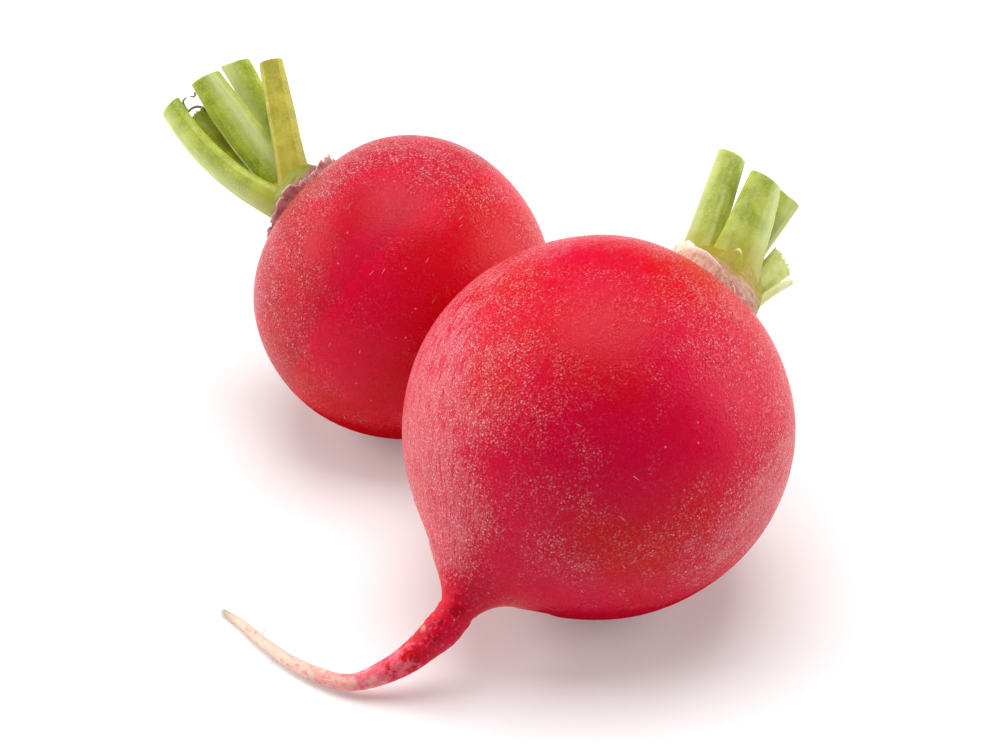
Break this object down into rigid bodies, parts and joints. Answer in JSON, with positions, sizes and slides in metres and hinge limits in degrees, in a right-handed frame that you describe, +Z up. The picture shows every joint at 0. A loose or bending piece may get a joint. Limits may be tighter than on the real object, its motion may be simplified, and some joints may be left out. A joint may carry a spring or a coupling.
{
  "type": "bunch of radishes",
  "caption": "Bunch of round red radishes with curved taproots and leaf stalks cut short, lying together on a surface.",
  "frame": {"origin": "middle of the bunch's footprint, on the surface that it lies on", "axes": "+Z up; +X to the right and +Y away from the viewer, as the picture sees the bunch: the large radish in front at the right, its crown to the back right and its taproot to the front left"},
  "size_m": [0.0707, 0.0744, 0.0393],
  "materials": {
    "root_skin": "fresh radish skin, crimson, smooth with a soft sheen and fine pale flecks",
    "crown_flesh": "green and olive flesh of the crown, waxy",
    "dry_scale": "dry leaf scale, peach and papery",
    "pink_scale": "dry leaf scale, dusty pink and ragged",
    "leaf_stalk": "fresh leaf stalk, yellow-green, satin, with fine lengthwise ribs",
    "olive_stalk": "leaf stalk with an olive and pinkish-brown tint",
    "young_stalk": "young inner stalk, dark olive",
    "pale_stalk": "short torn stalk, pale green to cream"
  },
  "bodies": {
    "root": {"front_root": "root_skin", "front_crown": "crown_flesh", "front_scale": "dry_scale", "front_torn_stub": "pale_stalk", "front_stalk_left": "leaf_stalk", "front_stalk_middle": "leaf_stalk", "front_stalk_behind": "leaf_stalk", "front_stalk_stub": "pale_stalk", "front_stalk_sliver": "pale_stalk", "back_root": "root_skin", "back_crown": "crown_flesh", "back_scale": "pink_scale", "back_stalk_outer": "leaf_stalk", "back_stalk_middle": "leaf_stalk", "back_stalk_behind": "leaf_stalk", "back_stalk_right": "olive_stalk", "back_stalk_young": "young_stalk"}
  },
  "joints": []
}
